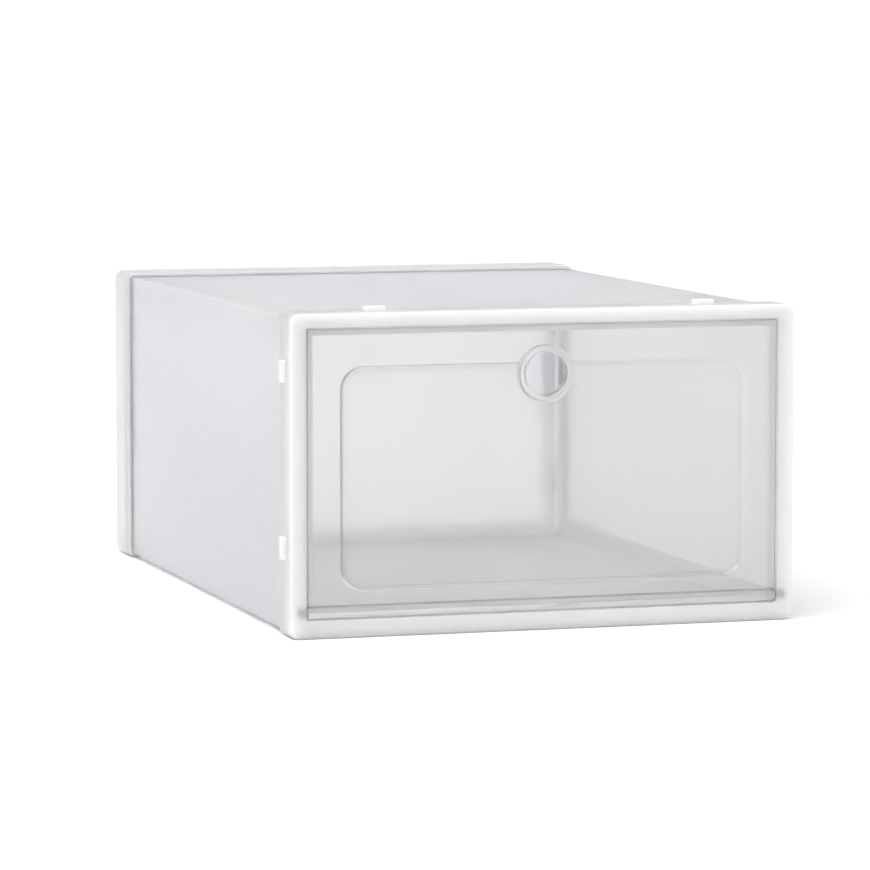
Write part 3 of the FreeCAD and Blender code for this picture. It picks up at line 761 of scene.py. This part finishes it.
class SHOEBOX_OT_flanged_panels(Operator):
    """Build the top and bottom panels with their flanges and snap nubs"""

    bl_idname = "shoebox.flanged_panels"
    bl_label = "Top and Bottom Panels"

    def execute(self, context):
        box = context.scene.shoe_box
        panels, steps = box.panels, box.stage.steps
        start, end, places = nub_places(panels)
        sink = panels.thickness / 2
        for name, top in (("top_panel", True), ("bottom_panel", False)):
            low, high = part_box(name)
            edge = high.x - panels.nub_rise
            inwards = -1 if top else 1
            outer = high.z if top else low.z
            inner = outer + inwards * panels.thickness
            sheet = sorted((outer, inner))
            flat = pillow((-edge, low.y, sheet[0]), (edge, high.y, sheet[1]), 2, panels.corner,
                          panels.edge_round, steps)
            piece = new_object(name + "_sheet", [flat])
            flanges, nubs = [], []
            for side in (LEFT, RIGHT):
                x = sorted((side * (edge - HAIR), side * (edge - panels.thickness)))
                z = sorted((inner - inwards * sink, inner + inwards * panels.flange_depth))
                flanges.append(pillow((x[0], start, z[0]), (x[1], end, z[1]), 0, panels.corner,
                                      panels.edge_round, steps))
                height = inner + inwards * panels.nub_drop
                for y in places:
                    nubs.append(stud((side * (edge - sink), y, height),
                                     (side * (edge + panels.nub_rise), y, height),
                                     (panels.nub_along, panels.nub_across), 0, panels.corner,
                                     panels.edge_round, steps))
            join(piece, flanges, "UNION")
            join(piece, nubs, "UNION")
            finish_piece(piece, name, "case",
                         material(frosted_sheet, box.finish))
        return {"FINISHED"}


class SHOEBOX_OT_back_panel(Operator):
    """Build the back panel"""

    bl_idname = "shoebox.back_panel"
    bl_label = "Back Panel"

    def execute(self, context):
        box = context.scene.shoe_box
        low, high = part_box("back_panel")
        piece = new_object("back_panel_sheet", [pillow(low, high, 1, box.panels.corner,
                                                       box.panels.edge_round, box.stage.steps)])
        finish_piece(piece, "back_panel", "case",
                     material(frosted_sheet, box.finish))
        return {"FINISHED"}


# ---------------------------------------------------------------- door

FINE, MIDDLING, COARSE = 0.4 * MM, 2 * MM, 5 * MM  # spacing of the door's grid
FIELD_BAND = 3.5 * MM  # fine grid on either side of the sunk field's outline
FRONT_SLOPE_START, BACK_SLOPE_START = 1.35 * MM, 1.9 * MM  # outside that outline, on each face
OUTER_SPACING = 3 * MM  # between that band and the door's ends
END_SHRINK = 0.8  # of the rounded edge: how far the section shrinks at the door's ends
EDGE_POINTS = 6  # on a quarter circle of the door's edges
BARREL_POINTS = 44
BARREL_REST = 0.5 * MM  # between the barrel and the back face's last point
RING_SIDES = 96
RING_SEAT = (-5 * MM, 10 * MM)  # what the ring's seat is cut through, from the front rail's face
PIN_ROOT = 3  # pin radii from a pin's end to its root


def graded(*stops):
    """Places from the first stop to the last, each pair of stops at its own step."""
    runs = [np.linspace(a, b, max(int(round(abs(b - a) / step)), 1), endpoint=False)
            for (a, step), (b, _) in zip(stops[:-1], stops[1:])]
    return np.concatenate(runs + [[stops[-1][0]]])


def smoothstep(t):
    """Nought below 0, one above 1, and 3 t^2 - 2 t^3 between."""
    t = np.clip(t, 0, 1)
    return t * t * (3 - 2 * t)


def door_profile(door, high_z):
    """The door's section as a closed loop of (y, z) points, and for each 0 in front or 1 behind.

    It climbs the front face, rounds the top edge, comes down the back face and follows the barrel's
    circle back to the foot of the front face, where the face touches that circle.
    """
    front, back = CASE_FRONT + door.inset, CASE_FRONT + door.inset + door.thickness
    edge = door.edge_round
    reach = FIELD_BAND + door.field_corner
    foot, top = CASE_LOW.z + door.field_bottom, CASE_HIGH.z - door.field_top
    climb = graded((HINGE.z, MIDDLING), (foot - FIELD_BAND, FINE), (foot + reach, COARSE),
                   (top - reach, FINE), (top + FIELD_BAND, MIDDLING), (high_z - edge, 1))
    turn = np.linspace(0, np.pi / 2, EDGE_POINTS)
    over_front = np.stack([front + edge * (1 - np.cos(turn)), high_z - edge * (1 - np.sin(turn))], 1)
    over_back = np.stack([back - edge * (1 - np.sin(turn)), high_z - edge * (1 - np.cos(turn))], 1)
    start = math.acos((back - HINGE.y) / door.barrel)
    angle = np.linspace(start, -np.pi, BARREL_POINTS)[:-1]
    barrel = np.stack([HINGE.y + door.barrel * np.cos(angle), HINGE.z + door.barrel * np.sin(angle)], 1)
    descent = climb[climb > barrel[0, 1] + BARREL_REST][::-1]
    points = np.concatenate([
        np.stack([np.full(len(climb), front), climb], 1)[:-1],
        over_front,
        over_back,
        np.stack([np.full(len(descent), back), descent], 1)[1:],
        barrel,
    ])
    behind = np.concatenate([np.zeros(len(climb) - 1 + len(over_front)),
                             np.ones(len(over_back) + len(descent) - 1 + len(barrel))])
    return points, behind


def door_sheet(door, side_rail):
    """The door without its hole: its section carried from side to side.

    Near both ends the section shrinks along its own normals, so that the ends are rounded. Inside the
    sunk field every point moves back by the field's depth times a smooth step of its distance from
    the field's outline, which has rounded corners.
    """
    high_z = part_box("door")[1].z
    half = CASE_HIGH.x - side_rail - door.gap
    field_x = CASE_HIGH.x - door.field_side
    profile, behind = door_profile(door, high_z)
    edge = door.edge_round
    right = graded((0, COARSE), (field_x - FIELD_BAND - door.field_corner, FINE),
                   (field_x + FIELD_BAND, OUTER_SPACING), (half - edge, 1))
    turn = np.linspace(0, np.pi / 2, EDGE_POINTS)
    ends = half - edge * (1 - np.sin(turn))
    across = np.concatenate([-ends[::-1], -right[1:-1][::-1], right[:-1], ends])
    shrink = END_SHRINK * edge * (1 - np.cos(turn))
    inset = np.concatenate([shrink[::-1], np.zeros(2 * len(right) - 3), shrink])
    tangent = np.roll(profile, -1, axis=0) - np.roll(profile, 1, axis=0)
    tangent /= np.linalg.norm(tangent, axis=1, keepdims=True)
    inwards = np.stack([tangent[:, 1], -tangent[:, 0]], 1)
    yz = profile[None] + inset[:, None, None] * inwards[None]
    x = np.broadcast_to(across[:, None], yz.shape[:2])
    middle_z = (CASE_LOW.z + door.field_bottom + CASE_HIGH.z - door.field_top) / 2
    half_z = CASE_HIGH.z - door.field_top - middle_z
    over_x = np.abs(x) - (field_x - door.field_corner)
    over_z = np.abs(yz[..., 1] - middle_z) - (half_z - door.field_corner)
    past_corner = np.hypot(np.maximum(over_x, 0), np.maximum(over_z, 0))
    outside = past_corner + np.minimum(np.maximum(over_x, over_z), 0) - door.field_corner
    starts = np.where(behind, BACK_SLOPE_START, FRONT_SLOPE_START)[None]
    depth = door.field_depth * smoothstep((starts - outside) / door.field_slope)
    return shell(np.stack([x, yz[..., 0] + depth, yz[..., 1]], axis=-1))


def ring_section(door):
    """The finger ring's section as (radius, y) points, round at the front and crisper behind."""
    front = CASE_FRONT + door.inset - door.ring_rise
    back = CASE_FRONT + door.inset + door.thickness + door.field_depth + 2 * HAIR
    corners = [(door.ring_radius, front), (door.ring_radius, back), (door.hole_radius, back),
               (door.hole_radius, front)]
    radii = [door.ring_round, door.edge_round, door.edge_round, door.ring_round]
    return rounded_outline(corners, radii, EDGE_POINTS)


class SHOEBOX_OT_door(Operator):
    """Build the clear door with its sunk field, finger ring, rolled edge and hinge pins"""

    bl_idname = "shoebox.door"
    bl_label = "Door"

    def execute(self, context):
        box = context.scene.shoe_box
        door, steps = box.door, box.stage.steps
        centre = Vector((0, HINGE.y, CASE_HIGH.z - door.ring_drop))
        piece = new_object("door_moulding", [door_sheet(door, box.frames.side_rail)])
        middle = (door.ring_radius + door.hole_radius) / 2
        cut = np.array([(middle, CASE_FRONT + place) for place in RING_SEAT])
        join(piece, [turned(cut, centre, 1, RING_SIDES, closed=False)], "DIFFERENCE")
        pin_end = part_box("door")[1].x
        turn = np.linspace(0, np.pi / 2, steps + 1)
        small = door.edge_round
        pins = []
        for side in (LEFT, RIGHT):
            rim = np.stack([door.pin - small * (1 - np.cos(turn)),
                            side * (pin_end - small * (1 - np.sin(turn)))], 1)
            section = np.concatenate([[(door.pin, side * (pin_end - PIN_ROOT * door.pin))], rim])
            pins.append(turned(section, HINGE, 0, 10 * steps, closed=False))
        ring = turned(ring_section(door), centre, 1, RING_SIDES, closed=True)
        join(piece, [ring] + pins, "UNION")
        finish_piece(piece, "door", "door",
                     material(clear_moulding, box.finish))
        return {"FINISHED"}


# ---------------------------------------------------------------- stage

FLOOR_DROP = 0.1 * MM  # keeps the floor out of the plane of the frames' feet
FLOOR_RINGS = (0.02, 0.2, 0.6, 1.5)
FLOOR_SIDES = 96
SURROUNDINGS = 0.67
AREA_LIGHTS = (  # name, place, side and power
    ("key", (-1.6, -1.8, 1.9), 1.6, 3.8),
    ("fill", (1.9, -1.6, 0.9), 1.4, 0.5),
)
SKY = ((-0.35, -0.3, 1.0), 1.9, math.radians(60))  # where it comes from, its strength and its spread
NEAREST, FURTHEST = 0.05, 1000.0  # what the camera draws


def area_light(name, place, side, power, target):
    """A square lamp that faces a point."""
    lamp = bpy.data.lights.new(name, "AREA")
    lamp.size, lamp.energy = side, power
    holder = bpy.data.objects.new(name, lamp)
    holder.location = place
    holder.rotation_euler = (Vector(target) - Vector(place)).to_track_quat("-Z", "Y").to_euler()
    bpy.context.scene.collection.objects.link(holder)


def sky_light(towards, strength, spread):
    """A broad soft light from one direction, alike all over the floor."""
    lamp = bpy.data.lights.new("sky", "SUN")
    lamp.energy, lamp.angle = strength, spread
    holder = bpy.data.objects.new("sky", lamp)
    holder.rotation_euler = (-Vector(towards)).to_track_quat("-Z", "Y").to_euler()
    bpy.context.scene.collection.objects.link(holder)


class SHOEBOX_OT_stage(Operator):
    """Set out the floor, the lights, the surroundings and the camera"""

    bl_idname = "shoebox.stage"
    bl_label = "Stage"

    def execute(self, context):
        scene = context.scene
        stage = scene.shoe_box.stage
        middle = (CASE_LOW + CASE_HIGH) / 2
        middle.y = (CASE_FRONT + CASE_HIGH.y) / 2
        angle = np.linspace(0, 2 * np.pi, FLOOR_SIDES, endpoint=False)
        radius = np.array([*FLOOR_RINGS, stage.floor_radius])[:, None]
        points = in_axes(2, radius * np.cos(angle), radius * np.sin(angle), -FLOOR_DROP)
        faces = grid_faces(len(radius), FLOOR_SIDES, wrap_columns=True).tolist()
        floor = new_object("floor", [(points.reshape(-1, 3), faces + [list(range(FLOOR_SIDES))])])
        if floor.data.polygons[0].normal.z < 0:
            floor.data.flip_normals()
        floor.data.materials.append(floor_paper(tuple(stage.floor_colour)))
        world = bpy.data.worlds.new("surroundings")
        world.use_nodes = True
        world.node_tree.nodes["Background"].inputs["Color"].default_value = (1.0, 1.0, 1.0, 1.0)
        world.node_tree.nodes["Background"].inputs["Strength"].default_value = SURROUNDINGS
        scene.world = world
        for light in AREA_LIGHTS:
            area_light(*light, middle)
        sky_light(*SKY)
        scene.view_settings.view_transform = "Standard"
        camera = bpy.data.cameras.new("camera")
        camera.lens, camera.clip_start, camera.clip_end = stage.lens, NEAREST, FURTHEST
        holder = bpy.data.objects.new("camera", camera)
        turn, rise = stage.azimuth, stage.elevation
        back = Vector((math.sin(turn) * math.cos(rise), -math.cos(turn) * math.cos(rise),
                       math.sin(rise)))
        holder.location = middle + back * stage.distance
        holder.rotation_euler = (-back).to_track_quat("-Z", "Y").to_euler()
        scene.collection.objects.link(holder)
        scene.camera = holder
        return {"FINISHED"}


# ---------------------------------------------------------------- add-on


class SHOEBOX_PT_panel(Panel):
    """The pieces, in the order in which they are built"""

    bl_idname = "SHOEBOX_PT_panel"
    bl_label = "Drop-Front Shoe Box"
    bl_space_type = "VIEW_3D"
    bl_region_type = "UI"
    bl_category = "Shoe Box"

    def draw(self, context):
        layout = self.layout
        for operator in OPERATORS:
            layout.operator(operator.bl_idname)
        box = context.scene.shoe_box
        for title in ("frames", "tabs", "door", "panels", "finish", "stage"):
            group = getattr(box, title)
            column = layout.column(heading=title.title())
            for name in group.bl_rna.properties.keys():
                if name not in ("rna_type", "name"):
                    column.prop(group, name)


OPERATORS = (
    SHOEBOX_OT_stage,
    SHOEBOX_OT_front_frame,
    SHOEBOX_OT_rear_frame,
    SHOEBOX_OT_side_panels,
    SHOEBOX_OT_flanged_panels,
    SHOEBOX_OT_back_panel,
    SHOEBOX_OT_door,
)
GROUPS = (FrameSizes, TabSizes, DoorSizes, PanelSizes, Finish, StageSizes, ShoeBoxSettings)
CLASSES = GROUPS + OPERATORS + (SHOEBOX_PT_panel,)


def register():
    for cls in CLASSES:
        bpy.utils.register_class(cls)
    bpy.types.Scene.shoe_box = PointerProperty(type=ShoeBoxSettings)


def unregister():
    del bpy.types.Scene.shoe_box
    for cls in reversed(CLASSES):
        bpy.utils.unregister_class(cls)


def main():
    register()
    bpy.ops.shoebox.stage()
    bpy.ops.shoebox.front_frame()
    bpy.ops.shoebox.rear_frame()
    bpy.ops.shoebox.side_panels()
    bpy.ops.shoebox.flanged_panels()
    bpy.ops.shoebox.back_panel()
    bpy.ops.shoebox.door()


if __name__ == "__main__":
    main()
